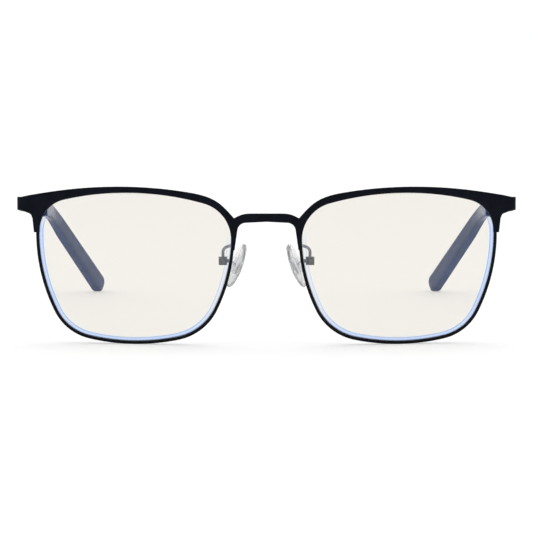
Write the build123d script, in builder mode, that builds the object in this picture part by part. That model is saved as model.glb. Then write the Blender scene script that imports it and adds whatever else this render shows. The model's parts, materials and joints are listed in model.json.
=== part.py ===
from build123d import *
from math import acos, asin, atan2, cos, degrees, hypot, radians, sin, sqrt, tan
import os

# Blue light glasses: a flat sheet brow line over thin metal rims, on two folding temples.
# Millimetres. The glasses rest on a table at Z = 0 with open temples: +Z up, the front faces -Y,
# and +X is the wearer's left. Every paired piece is drawn for the left side and mirrored.
# The front is drawn on its own leaning plane: u across, v up the lens, w towards the viewer.
# The temples are drawn in the wearing frame, where they lie level: x across, y back, z up.

# ---------------------------------------------------------------- front
base_radius = 265.0             # one sphere carries the brow sheet, both rims and both lenses
pantoscopic_tilt = 8.0          # degrees between the lens plane and square to the temples
sheet = 0.9                     # brow sheet, and the flat temple arms that continue it
rim_width = 0.9                 # seen from the front
rim_depth = 2.2                 # front to back
groove_depth = 0.45
groove_width = 0.9
groove_setback = 0.65           # rim front to groove
lens_thickness = 2.0
lens_setback = 0.1              # rim front to lens front
lens_gap = 0.05                 # lens body inside the rim opening
tongue_clearance = 0.05         # lens tongue to each groove wall

opening_width = 54.2
opening_height = 42.1
opening_top = 20.4              # above the middle of the front
opening_spacing = 19.8          # between the two openings
top_arc, top_arc_shift = 78.6, 1.1
bottom_arc, bottom_arc_shift = 59.6, 0.9
nasal_arc, nasal_arc_height = 47.0, 8.5
outer_arc, outer_arc_height = 48.6, 8.1
upper_nasal_corner = 10.4
upper_outer_corner = 9.1
lower_outer_corner = 13.1
lower_nasal_corner = 15.0

# the brow line stands this far above the opening's top arc, at these places across it
brow_nasal_height, brow_nasal_run = 1.65, 4.1           # in from the nasal edge
brow_shoulder_height, brow_shoulder_run = 2.0, 14.5     # nasal side of the middle
brow_height, brow_peak_run = 1.7, 2.3                   # outer side of the middle
brow_outer_height, brow_outer_run = 2.7, 7.8            # in from the outer edge
brow_end_drop = 0.2             # brow line below the end piece's top at its end

# heights on the rest of the brow sheet are measured down from the top of the opening
notch_drop = 6.8                # where the bridge meets the brow
notch_width = 0.8               # sheet left between the notch and the opening
bridge_drop = 5.4
bridge_bar = 2.35
bridge_shoulder_run = 3.05      # bridge shoulder to the opening
bridge_shoulder_drop = 0.37     # and below the middle of the bridge
bridge_end_run = 1.1            # corner under the bridge to the nasal leg
bridge_end_drop = 0.4           # and below the middle of the bridge's lower edge
bridge_fillet = 2.4
nasal_leg_drop = 15.8
outer_leg_drop = 11.7
leg_width = 0.95                # sheet legs, outside the opening
outer_leg_width = 1.5
leg_flare = 0.6                 # outer leg's top corner, out from the leg
leg_flare_drop = 0.4            # and below the end piece
leg_fillet = 2.2
end_piece_drop = 3.8            # to the end piece's middle
end_piece_height = 3.7
end_piece_reach = 6.3           # opening's outer edge to the outer face of the return
bend_inner_radius = 0.5

# ---------------------------------------------------------------- rim lock
lock_drop = 5.1                 # rim gap, below the top of the opening
lock_gap = 0.2
lock_width = 3.6                # blocks as cut, before the rim's outline shapes them
lock_half_height = 2.5
lock_screw_radius = 0.45
lock_screw_reach = 0.4          # rim's outer face to the screw axis
lock_wall = 0.4
lock_head_radius = 0.7
lock_head = 0.5
screw_clearance = 0.03

# ---------------------------------------------------------------- hinge
hinge_depth = 19.0              # front apex to the hinge axis, along the temples
knuckle_radius = 1.4
knuckle_gap = 0.4               # knuckle to the inner face of the return
middle_knuckle = 1.0
washer = 0.12
running_gap = 0.05
leaf = 0.8
leaf_length = 5.5
leaf_relief = 0.15              # leaf to a turning knuckle
butt_gap = 0.12                 # return to temple when open
hinge_screw_radius = 0.6
hinge_head_radius = 1.0
hinge_head = 0.5
slot_width = 0.25
slot_depth = 0.2

# ---------------------------------------------------------------- temples
temple_level = 17.7             # above the front apex's own height
temple_straight = 95.3          # hinge axis to where the drop would start as a sharp corner
temple_lead = 8.0               # parallel stretch behind the hinge
toe_in = 1.1
inward_start = 96.4             # the same for the inward turn
drop_angle = 35.6
inward_angle = 22.7
drop_length = 39.6
drop_radius = 26.0
inward_radius = 40.0
lead_radius = 150.0
core_height = 2.0
core_end = 8.0                  # metal core stops this far from the middle of the tip's round end
tip_cover = 70.0                # hinge axis to the front of the tip sleeve
tip_thickness = 2.5
tip_front_height = 4.0
tip_bend_height = 4.6
tip_end_radius = 2.8

# ---------------------------------------------------------------- nose pads
pad_length = 13.0
pad_width = 6.8
pad_thickness = 2.2
pad_fillet = 0.9
pad_centre = (8.4, 10.0, 0.2)
pad_lean = 21.0                 # degrees, tops together
pad_splay = 20.0                # degrees, rear edges apart
pad_standoff = 4.4              # middle of the pad to its screw
pad_plate = (4.5, 2.6, 0.6)     # stiffener moulded into the pad
stem_radius = 0.5
eye_radius = 0.75
eye_thickness = 1.2
pad_screw_radius = 0.35
pad_head_radius = 0.85
pad_head = 0.4
box_plate = 0.5
box_web = 0.35
eye_web_gap = 0.1
stem_bend = 1.7                 # screw axis to where the stem turns to the pad
pad_wire = 0.9
wire_root_height = 5.9
wire_root_bury = 0.4
wire_back = 7.6
wire_fall = 0.9                 # over the stretch that runs outwards
wire_fillet = 1.6

# ---------------------------------------------------------------- worked out
blank = 30.0                    # longer than anything on the front is deep
past = 1.0                      # how far a cut runs past what it cuts
opening_left = opening_spacing / 2
opening_right = opening_left + opening_width
opening_middle = opening_left + opening_width / 2
opening_bottom = opening_top - opening_height
end_centre = opening_top - end_piece_drop
end_outer = opening_right + end_piece_reach
end_inner = end_outer - sheet
bend_outer_radius = bend_inner_radius + sheet

drop = radians(drop_angle)
inward = radians(inward_angle)
tilt = radians(pantoscopic_tilt)
drop_corner = (hinge_depth + temple_straight, temple_level)
tip_end = (
    drop_corner[0] + drop_length * cos(drop),
    drop_corner[1] - drop_length * sin(drop),
)

# The glasses rest on the rims' lowest front edges and on the round ends of the tips.
rim_foot_u = opening_middle + bottom_arc_shift
rim_foot_v = opening_bottom - rim_width
rim_foot_w = sqrt(base_radius**2 - rim_foot_u**2 - rim_foot_v**2) - base_radius
rim_foot = (
    -rim_foot_v * sin(tilt) - rim_foot_w * cos(tilt),
    rim_foot_v * cos(tilt) - rim_foot_w * sin(tilt),
)
foot_run = tip_end[0] - rim_foot[0]
foot_rise = tip_end[1] - rim_foot[1]
rest = acos(tip_end_radius / hypot(foot_run, foot_rise)) - atan2(foot_run, foot_rise)

bridge_low = opening_top - bridge_drop - bridge_bar
bridge_low_w = sqrt((base_radius + sheet) ** 2 - bridge_low**2) - base_radius
front_most = -bridge_low * sin(tilt - rest) - bridge_low_w * cos(tilt - rest)
rear_most = tip_end[0] * cos(rest) + tip_end[1] * sin(rest) + tip_end_radius
apex_y = -(front_most + rear_most) / 2
apex_z = rim_foot[0] * sin(rest) - rim_foot[1] * cos(rest)

wearing = Plane(origin=(0, apex_y, apex_z), x_dir=(1, 0, 0), z_dir=(0, sin(rest), cos(rest)))


def wearing_plane(origin, x_dir, z_dir):
    """A plane stated in the wearing frame."""
    return Plane(wearing.location * Plane(origin, x_dir, z_dir).location)


front_plane = wearing_plane((0, 0, 0), (1, 0, 0), (0, -cos(tilt), -sin(tilt)))


def on_front(u, v, w, turn=(0, 0, 0)):
    """A plane stated on the front."""
    return Plane(front_plane.location * Location((u, v, w), turn))


sphere_centre = on_front(0, 0, -base_radius).origin


def lens_face(grow):
    """The opening's outline, four shallow arcs with round corners, grown all round."""
    with BuildSketch(on_front(0, 0, -blank)) as outline:
        with Locations((opening_middle + top_arc_shift, opening_top - top_arc)):
            Circle(top_arc + grow)
        with Locations((opening_middle + bottom_arc_shift, opening_bottom + bottom_arc)):
            Circle(bottom_arc + grow, mode=Mode.INTERSECT)
        with Locations((opening_left + nasal_arc, nasal_arc_height)):
            Circle(nasal_arc + grow, mode=Mode.INTERSECT)
        with Locations((opening_right - outer_arc, outer_arc_height)):
            Circle(outer_arc + grow, mode=Mode.INTERSECT)
        for corner, radius in (
            ((opening_left, opening_top), upper_nasal_corner),
            ((opening_right, opening_top), upper_outer_corner),
            ((opening_right, opening_bottom), lower_outer_corner),
            ((opening_left, opening_bottom), lower_nasal_corner),
        ):
            fillet(outline.vertices().sort_by_distance(corner)[0], radius + grow)
    return outline.sketch


def curved_slab(face, inner, outer):
    """A face of the front carried through to the layer between two radii of the sphere."""
    with BuildPart() as slab:
        extrude(face, amount=2 * blank)
        with Locations(sphere_centre):
            Sphere(outer, mode=Mode.INTERSECT)
            Sphere(inner, mode=Mode.SUBTRACT)
    return slab.part


def side_plane(x):
    """Upright plane along the temples: local x runs back, local y up, and it faces +X."""
    return wearing_plane((x, 0, 0), (0, 1, 0), (1, 0, 0))


def plan_plane(z):
    """Level plane of the wearing frame, facing up."""
    return wearing_plane((0, 0, z), (1, 0, 0), (0, 0, 1))


# ---------------------------------------------------------------- rim and lens
rim_back = base_radius - rim_depth
groove_front = base_radius - groove_setback
groove_back = groove_front - groove_width
lock_v = opening_top - lock_drop
lock_u = opening_right + rim_width + lock_screw_reach

with BuildPart() as rim:
    add(curved_slab(lens_face(rim_width), rim_back, base_radius))
    add(curved_slab(lens_face(0), rim_back, base_radius), mode=Mode.SUBTRACT)
    add(curved_slab(lens_face(groove_depth), groove_back, groove_front), mode=Mode.SUBTRACT)
    with BuildSketch(on_front(opening_right, lock_v, -blank)):
        Rectangle(2 * lock_width, lock_gap)
    extrude(amount=2 * blank, mode=Mode.SUBTRACT)

lens_front = base_radius - lens_setback
with BuildPart() as lens:
    add(curved_slab(lens_face(-lens_gap), lens_front - lens_thickness, lens_front))
    add(
        curved_slab(
            lens_face(groove_depth),
            groove_back + tongue_clearance,
            groove_front - tongue_clearance,
        )
    )

# ---------------------------------------------------------------- brow sheet
# The end piece bends back about an axis that is square to X and tangent to the sphere.
bend_x = end_outer - bend_outer_radius
bend_out = sqrt((base_radius + sheet - bend_outer_radius) ** 2 - bend_x**2)
end_tilt = degrees(asin(end_centre / bend_out))
end_plane = on_front(0, 0, -base_radius, (90 - end_tilt, 0, 0))
bend_start = degrees(atan2(bend_out, bend_x))


def end_corner(height):
    """Where the bend runs out into the return, as y and z of the wearing frame."""
    corner = end_plane.from_local_coords(Vector(end_inner, bend_out, -height))
    place = wearing.to_local_coords(corner)
    return place.Y, place.Z


def above_lens(u, height):
    """A point of the brow line, stated above the opening's top arc."""
    across = u - opening_middle - top_arc_shift
    return u, opening_top - top_arc + sqrt(top_arc**2 - across**2) + height


end_low = end_centre - end_piece_height / 2
end_high = end_centre + end_piece_height / 2
leg_outer = opening_right + outer_leg_width
leg_low = opening_top - outer_leg_drop
nasal_low = opening_top - nasal_leg_drop
notch = (opening_left - notch_width, opening_top - notch_drop)
bridge_high = opening_top - bridge_drop
bridge_shoulder = (opening_left - bridge_shoulder_run, bridge_high - bridge_shoulder_drop)
bridge_end = (opening_left - leg_width - bridge_end_run, bridge_low - bridge_end_drop)
leg_top = (leg_outer + leg_flare, end_low - leg_flare_drop)
brow_end = (end_outer + past, end_high - brow_end_drop)

with BuildPart() as brow_bridge:
    with BuildSketch(on_front(0, 0, -blank)) as brow_outline:
        with BuildLine():
            Spline((0, bridge_high), bridge_shoulder, notch, tangents=[(1, 0), (1, -1)])
            brow = Spline(
                notch,
                above_lens(opening_left + brow_nasal_run, brow_nasal_height),
                above_lens(opening_middle - brow_shoulder_run, brow_shoulder_height),
                above_lens(opening_middle + brow_peak_run, brow_height),
                above_lens(opening_right - brow_outer_run, brow_outer_height),
                brow_end,
            )
            Line(brow @ 1, (end_outer + past, end_low))
            Polyline(
                (end_outer + past, end_low),
                leg_top,
                (leg_outer, leg_low),
                (opening_middle, leg_low),
                (opening_middle, nasal_low),
                (opening_left - leg_width, nasal_low),
                bridge_end,
                (0, bridge_low),
                (0, bridge_high),
            )
        make_face()
        fillet(brow_outline.vertices().sort_by_distance(leg_top)[0], leg_fillet)
        fillet(brow_outline.vertices().sort_by_distance(bridge_end)[0], bridge_fillet)
    extrude(amount=2 * blank)
    with Locations(sphere_centre):
        Sphere(base_radius + sheet, mode=Mode.INTERSECT)
        Sphere(base_radius, mode=Mode.SUBTRACT)
    add(
        curved_slab(lens_face(0), base_radius - past, base_radius + sheet + past),
        mode=Mode.SUBTRACT,
    )
    # beyond the start of the bend the flat sheet is cut away and the bend takes over
    with BuildSketch(end_plane):
        with Locations(Location((bend_x, bend_out), bend_start - 90)):
            Rectangle(blank, blank, align=(Align.MIN, Align.CENTER))
    extrude(amount=blank, both=True, mode=Mode.SUBTRACT)
    with BuildSketch(end_plane):
        with BuildLine():
            outer = CenterArc((bend_x, bend_out), bend_outer_radius, 0, bend_start)
            inner = CenterArc((bend_x, bend_out), bend_inner_radius, 0, bend_start)
            Line(outer @ 0, inner @ 0)
            Line(outer @ 1, inner @ 1)
        make_face()
    extrude(amount=end_piece_height / 2, both=True)
    with BuildSketch(side_plane(end_inner)):
        with BuildLine():
            Polyline(
                end_corner(-end_piece_height / 2),
                end_corner(end_piece_height / 2),
                (hinge_depth, temple_level + end_piece_height / 2),
                (hinge_depth, temple_level - end_piece_height / 2),
                close=True,
            )
        make_face()
    extrude(amount=sheet)
    mirror(about=Plane.YZ)

# ---------------------------------------------------------------- rim lock
# Two blocks on the rim's outer side stand either side of its gap and a screw draws them together.
lock_outer = lock_u + lock_screw_radius + lock_wall
lock_low = lock_v - lock_gap / 2
lock_high = lock_v + lock_gap / 2
lock_middle = base_radius - rim_depth / 2


def on_lock(v):
    """Across the lock screw at height v, facing down, with local y towards the viewer."""
    middle_w = sqrt(lock_middle**2 - lock_u**2 - lock_v**2) - base_radius
    return on_front(lock_u, v, middle_w, (90, 0, 0))


def lock_block(low):
    """One block, before the rim is cut out of it."""
    with BuildSketch(on_front(lock_outer, low, -blank)) as block:
        Rectangle(lock_width, lock_half_height, align=(Align.MAX, Align.MIN))
    return curved_slab(block.sketch, rim_back, base_radius)


with BuildPart() as rim_lock_upper:
    add(lock_block(lock_high))
    add(curved_slab(lens_face(rim_width), rim_back - past, base_radius + past), mode=Mode.SUBTRACT)
    with BuildSketch(on_lock(lock_high + lock_half_height)):
        Circle(lock_screw_radius)
    extrude(amount=lock_half_height, mode=Mode.SUBTRACT)

with BuildPart() as rim_lock_lower:
    add(lock_block(lock_low - lock_half_height))
    add(curved_slab(lens_face(rim_width), rim_back - past, base_radius + past), mode=Mode.SUBTRACT)
    with BuildSketch(on_lock(lock_low)):
        Circle(lock_screw_radius + screw_clearance)
    extrude(amount=lock_half_height + past, mode=Mode.SUBTRACT)

lock_foot = on_lock(lock_low - lock_half_height)
with BuildPart() as rim_screw:
    with BuildSketch(lock_foot):
        Circle(lock_head_radius)
    extrude(amount=lock_head)
    with BuildSketch(lock_foot.offset(lock_head)):
        Rectangle(3 * lock_head_radius, slot_width)
    extrude(amount=-slot_depth, mode=Mode.SUBTRACT)
    with BuildSketch(lock_foot):
        Circle(lock_screw_radius)
    extrude(amount=-(2 * lock_half_height + lock_gap - lock_wall))

# ---------------------------------------------------------------- hinge
hinge_x = end_inner - knuckle_gap - knuckle_radius
hinge_place = (hinge_x, hinge_depth)
hinge_low = temple_level - end_piece_height / 2
hinge_high = temple_level + end_piece_height / 2
middle_low = temple_level - middle_knuckle / 2
middle_high = temple_level + middle_knuckle / 2
fixed_low = middle_low - running_gap - washer
fixed_high = middle_high + running_gap + washer
turning_bore = hinge_screw_radius + screw_clearance
leaf_x = end_inner - leaf / 2
leaf_start = sqrt((knuckle_radius + leaf_relief) ** 2 - (leaf_x - leaf / 2 - hinge_x) ** 2)

with BuildPart() as front_hinge:
    with BuildSketch(plan_plane(hinge_low)):
        with Locations(hinge_place):
            Circle(knuckle_radius)
        with Locations((leaf_x, hinge_depth)):
            Rectangle(leaf, leaf_length, align=(Align.CENTER, Align.MAX))
    extrude(amount=end_piece_height)
    with BuildSketch(plan_plane(fixed_low)):
        with Locations(hinge_place):
            Rectangle(2 * (end_inner - hinge_x), 2 * (knuckle_radius + leaf_relief))
    extrude(amount=fixed_high - fixed_low, mode=Mode.SUBTRACT)
    with BuildSketch(plan_plane(hinge_low)):
        with Locations(hinge_place):
            Circle(hinge_screw_radius)
    extrude(amount=fixed_low - hinge_low, mode=Mode.SUBTRACT)
    with BuildSketch(plan_plane(fixed_high)):
        with Locations(hinge_place):
            Circle(turning_bore)
    extrude(amount=hinge_high - fixed_high, mode=Mode.SUBTRACT)
    with BuildSketch(plan_plane(hinge_high - hinge_head)):
        with Locations(hinge_place):
            Circle(hinge_head_radius + screw_clearance)
    extrude(amount=hinge_head, mode=Mode.SUBTRACT)

with BuildPart() as hinge_screw:
    with BuildSketch(plan_plane(hinge_low)):
        with Locations(hinge_place):
            Circle(hinge_screw_radius)
    extrude(amount=end_piece_height)
    with BuildSketch(plan_plane(hinge_high - hinge_head)):
        with Locations(hinge_place):
            Circle(hinge_head_radius)
    extrude(amount=hinge_head)
    with BuildSketch(plan_plane(hinge_high)):
        with Locations(hinge_place):
            Rectangle(slot_width, 3 * hinge_head_radius)
    extrude(amount=-slot_depth, mode=Mode.SUBTRACT)


def washer_at(low):
    """A thin nylon washer between two knuckles."""
    with BuildPart() as ring:
        with BuildSketch(plan_plane(low)):
            with Locations(hinge_place):
                Circle(knuckle_radius)
                Circle(turning_bore, mode=Mode.SUBTRACT)
        extrude(amount=washer)
    return ring


washer_upper = washer_at(fixed_high - washer)
washer_lower = washer_at(fixed_low)

with BuildPart() as temple_hinge:
    with BuildSketch(plan_plane(middle_low)):
        with Locations(hinge_place):
            Circle(knuckle_radius)
        with Locations((leaf_x, hinge_depth + butt_gap)):
            Rectangle(leaf, leaf_length, align=(Align.CENTER, Align.MIN))
    extrude(amount=middle_knuckle)
    with BuildSketch(plan_plane(hinge_low)):
        with Locations((leaf_x, hinge_depth + leaf_start)):
            Rectangle(
                leaf, leaf_length + butt_gap - leaf_start, align=(Align.CENTER, Align.MIN)
            )
    extrude(amount=end_piece_height)
    with BuildSketch(plan_plane(middle_low)):
        with Locations(hinge_place):
            Circle(turning_bore)
    extrude(amount=middle_knuckle, mode=Mode.SUBTRACT)

# ---------------------------------------------------------------- temple
arm_x = end_inner + sheet / 2
arm_start = hinge_depth + butt_gap
tip_front = hinge_depth + tip_cover
turn_y = hinge_depth + inward_start
plan_reach = drop_length + 4 * tip_end_radius


def drop_edge(side, start, reach, front_half, bend_half, end_half):
    """Points of a strip's upper (side 1) or lower (side -1) edge along the temple's drop."""
    return (
        (start, temple_level + side * front_half),
        (drop_corner[0] + side * bend_half * tan(drop / 2), drop_corner[1] + side * bend_half),
        (
            drop_corner[0] + reach * cos(drop) + side * end_half * sin(drop),
            drop_corner[1] - reach * sin(drop) + side * end_half * cos(drop),
        ),
    )


def plan_strip(width):
    """The temple's run seen from above: parallel, a slight toe-in, then the turn to the head."""
    with BuildSketch(plan_plane(-blank)) as strip:
        with BuildLine():
            FilletPolyline(
                (arm_x, 0),
                (arm_x, hinge_depth + temple_lead),
                (arm_x - toe_in, turn_y),
                (
                    arm_x - toe_in - plan_reach * sin(inward),
                    turn_y + plan_reach * cos(inward),
                ),
                radius=(lead_radius, inward_radius),
            )
        trace(line_width=width)
    return strip.sketch


half_core = core_height / 2
with BuildPart() as temple:
    with BuildSketch(side_plane(0)):
        with BuildLine():
            core_reach = drop_length - core_end
            high = FilletPolyline(
                *drop_edge(1, arm_start, core_reach, end_piece_height / 2, half_core, half_core),
                radius=drop_radius + half_core,
            )
            low = FilletPolyline(
                *drop_edge(-1, arm_start, core_reach, end_piece_height / 2, half_core, half_core),
                radius=drop_radius - half_core,
            )
            Line(high @ 0, low @ 0)
            Line(high @ 1, low @ 1)
        make_face()
    extrude(amount=2 * end_outer)
    extrude(plan_strip(sheet), amount=3 * blank, mode=Mode.INTERSECT)

with BuildPart() as temple_tip:
    with BuildSketch(side_plane(0)):
        with BuildLine():
            tip_halves = (tip_front_height / 2, tip_bend_height / 2, tip_end_radius)
            high = FilletPolyline(
                *drop_edge(1, tip_front, drop_length, *tip_halves),
                radius=drop_radius + tip_bend_height / 2,
            )
            low = FilletPolyline(
                *drop_edge(-1, tip_front, drop_length, *tip_halves),
                radius=drop_radius - tip_bend_height / 2,
            )
            Line(high @ 0, low @ 0)
            tip_point = (
                tip_end[0] + tip_end_radius * cos(drop),
                tip_end[1] - tip_end_radius * sin(drop),
            )
            ThreePointArc(high @ 1, tip_point, low @ 1)
        make_face()
    extrude(amount=2 * end_outer)
    extrude(plan_strip(tip_thickness), amount=3 * blank, mode=Mode.INTERSECT)
    add(temple.part, mode=Mode.SUBTRACT)

# ---------------------------------------------------------------- nose pads
lean = radians(pad_lean)
splay = radians(pad_splay)
pad_axis = (-sin(lean), 0, cos(lean))
pad_normal = (-cos(splay) * cos(lean), sin(splay), -cos(splay) * sin(lean))
pad_plane = wearing_plane(pad_centre, pad_axis, pad_normal)
box_place = tuple(c - n * pad_standoff for c, n in zip(pad_centre, pad_normal))
eye_bore = pad_screw_radius + screw_clearance
box_gap = eye_thickness + 2 * running_gap
box_front = box_gap / 2 + box_plate
box_side = 2 * (eye_radius + eye_web_gap + box_web)


def on_box(back):
    """Across the pad screw, facing the viewer, this far behind the middle of the eye."""
    x, y, z = box_place
    return wearing_plane((x, y + back, z), (1, 0, 0), (0, -1, 0))


stem_foot = (box_place[0] - stem_bend, box_place[1], box_place[2])
stem_run = Vector(*pad_centre) - Vector(*stem_foot)
stem_plane = wearing_plane(stem_foot, (0, 0, 1), tuple(stem_run))

with BuildPart() as pad_insert:
    with BuildSketch(on_box(eye_thickness / 2)):
        Circle(eye_radius)
    extrude(amount=eye_thickness)
    with BuildSketch(on_box(stem_radius)):
        Rectangle(stem_bend + stem_radius, 2 * stem_radius, align=(Align.MAX, Align.CENTER))
    extrude(amount=2 * stem_radius)
    with BuildSketch(stem_plane):
        Circle(stem_radius)
    extrude(amount=stem_run.length)
    with BuildSketch(pad_plane.offset(-pad_plate[2] / 2)):
        Rectangle(pad_plate[0], pad_plate[1])
    extrude(amount=pad_plate[2])
    with BuildSketch(on_box(eye_thickness)):
        Circle(eye_bore)
    extrude(amount=2 * eye_thickness, mode=Mode.SUBTRACT)

with BuildPart() as nose_pad:
    with BuildSketch(pad_plane.offset(-pad_thickness / 2)):
        Ellipse(pad_length / 2, pad_width / 2)
    extrude(amount=pad_thickness)
    fillet(nose_pad.edges(), pad_fillet)
    add(pad_insert.part, mode=Mode.SUBTRACT)

# The box is open towards the nose and below, so the pad can rock on its screw.
with BuildPart() as pad_box:
    with BuildSketch(on_box(box_front)):
        Rectangle(box_side, box_side)
    extrude(amount=2 * box_front)
    with BuildSketch(on_box(box_gap / 2)):
        with Locations((box_side / 2 - box_web, box_side / 2 - box_web)):
            Rectangle(2 * box_side, 2 * box_side, align=(Align.MAX, Align.MAX))
    extrude(amount=box_gap, mode=Mode.SUBTRACT)
    with BuildSketch(on_box(box_front)):
        Circle(pad_screw_radius)
    extrude(amount=2 * box_front, mode=Mode.SUBTRACT)

with BuildPart() as pad_screw:
    with BuildSketch(on_box(box_front)):
        Circle(pad_screw_radius)
    extrude(amount=2 * box_front)
    with BuildSketch(on_box(-box_front)):
        Circle(pad_head_radius)
    extrude(amount=pad_head)
    with BuildSketch(on_box(-box_front - pad_head)):
        Rectangle(3 * pad_head_radius, slot_width)
    extrude(amount=-slot_depth, mode=Mode.SUBTRACT)

# The wire leaves the back of the rim, runs back and turns down into the top of the box.
wire_root_u = opening_left - rim_width / 2
root_w = sqrt(rim_back**2 - wire_root_u**2 - wire_root_height**2) - base_radius
root_y = -wire_root_height * sin(tilt) - root_w * cos(tilt)
root_z = wire_root_height * cos(tilt) - root_w * sin(tilt)
with BuildPart() as pad_arm:
    with BuildLine(wearing) as wire:
        FilletPolyline(
            (wire_root_u, root_y - wire_root_bury, root_z),
            (wire_root_u, wire_back, root_z),
            (box_place[0], box_place[1], root_z - wire_fall),
            (box_place[0], box_place[1], box_place[2] + box_side / 2),
            radius=wire_fillet,
        )
    with BuildSketch(wire.line ^ 0):
        Circle(pad_wire / 2)
    sweep()
    add(rim.part, mode=Mode.SUBTRACT)

# ---------------------------------------------------------------- files
brow_bridge.part.label = "brow_bridge"
paired = {
    "rim": rim,
    "lens": lens,
    "rim_lock_upper": rim_lock_upper,
    "rim_lock_lower": rim_lock_lower,
    "rim_screw": rim_screw,
    "pad_arm": pad_arm,
    "pad_box": pad_box,
    "pad_screw": pad_screw,
    "pad_insert": pad_insert,
    "nose_pad": nose_pad,
    "front_hinge": front_hinge,
    "hinge_screw": hinge_screw,
    "washer_upper": washer_upper,
    "washer_lower": washer_lower,
    "temple_hinge": temple_hinge,
    "temple": temple,
    "temple_tip": temple_tip,
}

os.makedirs("parts", exist_ok=True)
export_step(brow_bridge.part, "parts/brow_bridge.step")
for name, piece in paired.items():
    piece.part.label = f"{name}_left"
    export_step(piece.part, f"parts/{name}_left.step")
    with BuildPart() as twin:
        mirror(piece.part, about=Plane.YZ)
    twin.part.label = f"{name}_right"
    export_step(twin.part, f"parts/{name}_right.step")

# ---------------------------------------------------------------- where the joints are
print("hinge axis direction", wearing.z_dir)
print("temple hinge", wearing.from_local_coords(Vector(hinge_x, hinge_depth, temple_level)))
print("pad screw direction", wearing.y_dir)
print("pad screw", wearing.from_local_coords(Vector(*box_place)))
print("rest slope of the temples", degrees(rest))
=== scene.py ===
import json
import math

import bmesh
import bpy
import numpy as np
from bpy.props import FloatProperty, FloatVectorProperty, PointerProperty
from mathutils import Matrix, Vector


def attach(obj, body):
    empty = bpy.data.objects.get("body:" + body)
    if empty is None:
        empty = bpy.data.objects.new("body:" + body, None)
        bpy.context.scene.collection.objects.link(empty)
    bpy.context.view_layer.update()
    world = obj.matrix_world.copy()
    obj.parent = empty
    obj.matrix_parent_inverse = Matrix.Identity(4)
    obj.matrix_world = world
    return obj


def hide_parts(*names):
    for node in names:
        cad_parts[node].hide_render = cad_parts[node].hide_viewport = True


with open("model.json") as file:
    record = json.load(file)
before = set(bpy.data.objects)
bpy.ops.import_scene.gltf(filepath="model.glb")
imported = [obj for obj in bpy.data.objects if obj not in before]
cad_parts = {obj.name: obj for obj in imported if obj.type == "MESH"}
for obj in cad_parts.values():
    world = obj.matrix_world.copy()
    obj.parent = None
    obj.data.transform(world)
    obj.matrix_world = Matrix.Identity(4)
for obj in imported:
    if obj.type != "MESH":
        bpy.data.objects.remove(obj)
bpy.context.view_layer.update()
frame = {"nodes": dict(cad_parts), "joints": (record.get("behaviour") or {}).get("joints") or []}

bl_info = {
    "name": "Blue light glasses",
    "version": (1, 0, 0),
    "blender": (4, 5, 0),
    "location": "View3D > Sidebar > Glasses",
    "description": "Sheet brow glasses with thin rims, clear lenses and blue temple tips",
    "category": "Add Mesh",
}

# Sizes are in millimetres until a mesh is made. Shapes on the front are worked out as
# u across, v up the lens and r from the centre of the sphere that the whole front lies on.
# Shapes along the temples are worked out in the wearing frame: x across, y back, z up.
MM = 0.001
BASE = 265.0
TILT = math.radians(8.0)
SHEET = 0.9
RIM_WIDTH, RIM_DEPTH, RIM_CHAMFER = 0.9, 2.2, 0.12
GROOVE, GROOVE_FRONT, GROOVE_BACK = 0.45, 0.65, 1.55
LENS_THICKNESS, LENS_SETBACK, LENS_GAP = 2.0, 0.1, 0.05
TONGUE_FRONT, TONGUE_BACK, TONGUE_GAP = 0.55, 1.65, 0.04
LENS_BAND = np.array([0.945, 0.953, 0.958, 0.963, 0.968, 0.975, 0.985, 0.993, 1.0])
OPENING_WIDTH, OPENING_HEIGHT, OPENING_TOP = 54.2, 42.1, 20.4
TOP_ARC, TOP_ARC_SHIFT = 78.6, 1.1
BOTTOM_ARC, BOTTOM_ARC_SHIFT = 59.6, 0.9
NASAL_ARC, NASAL_ARC_HEIGHT = 47.0, 8.5
OUTER_ARC, OUTER_ARC_HEIGHT = 48.6, 8.1
UPPER_NASAL, UPPER_OUTER, LOWER_OUTER, LOWER_NASAL = 10.4, 9.1, 13.1, 15.0
OPENING_LEFT = 9.9
OPENING_RIGHT = OPENING_LEFT + OPENING_WIDTH
OPENING_MIDDLE = OPENING_LEFT + OPENING_WIDTH / 2
OPENING_BOTTOM = OPENING_TOP - OPENING_HEIGHT
END_OUTER = OPENING_RIGHT + 6.3
END_INNER = END_OUTER - SHEET
END_HEIGHT = 3.7
END_CENTRE = OPENING_TOP - 3.8
BEND_INNER = 0.5
HINGE_DEPTH, TEMPLE_LEVEL = 19.0, 17.7
RIM_STEPS, LENS_STEPS = 420, 360
SIDES = {"left": 1, "right": -1}

HINGE = next(j for j in frame["joints"] if j["name"] == "temple_fold_left")
REST = math.atan2(HINGE["axis"][1], HINGE["axis"][2])
APEX_Y = HINGE["pos_m"][1] / MM - HINGE_DEPTH * math.cos(REST) - TEMPLE_LEVEL * math.sin(REST)
APEX_Z = HINGE["pos_m"][2] / MM + HINGE_DEPTH * math.sin(REST) - TEMPLE_LEVEL * math.cos(REST)


# ---------------------------------------------------------------- frames
def row_point(x, y, z):
    """Wearing frame in millimetres to the row frame in metres: a turn about X by the angle
    at which the glasses rest, then a shift to the table."""
    x, y, z = np.broadcast_arrays(x, y, z)
    back = APEX_Y + y * math.cos(REST) + z * math.sin(REST)
    up = APEX_Z - y * math.sin(REST) + z * math.cos(REST)
    return np.stack([x, back, up], axis=-1) * MM


def front_point(u, v, w):
    """Leaning front to the row frame: w points at the viewer, v up the lens."""
    return row_point(u, -v * math.sin(TILT) - w * math.cos(TILT),
                     v * math.cos(TILT) - w * math.sin(TILT))


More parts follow.
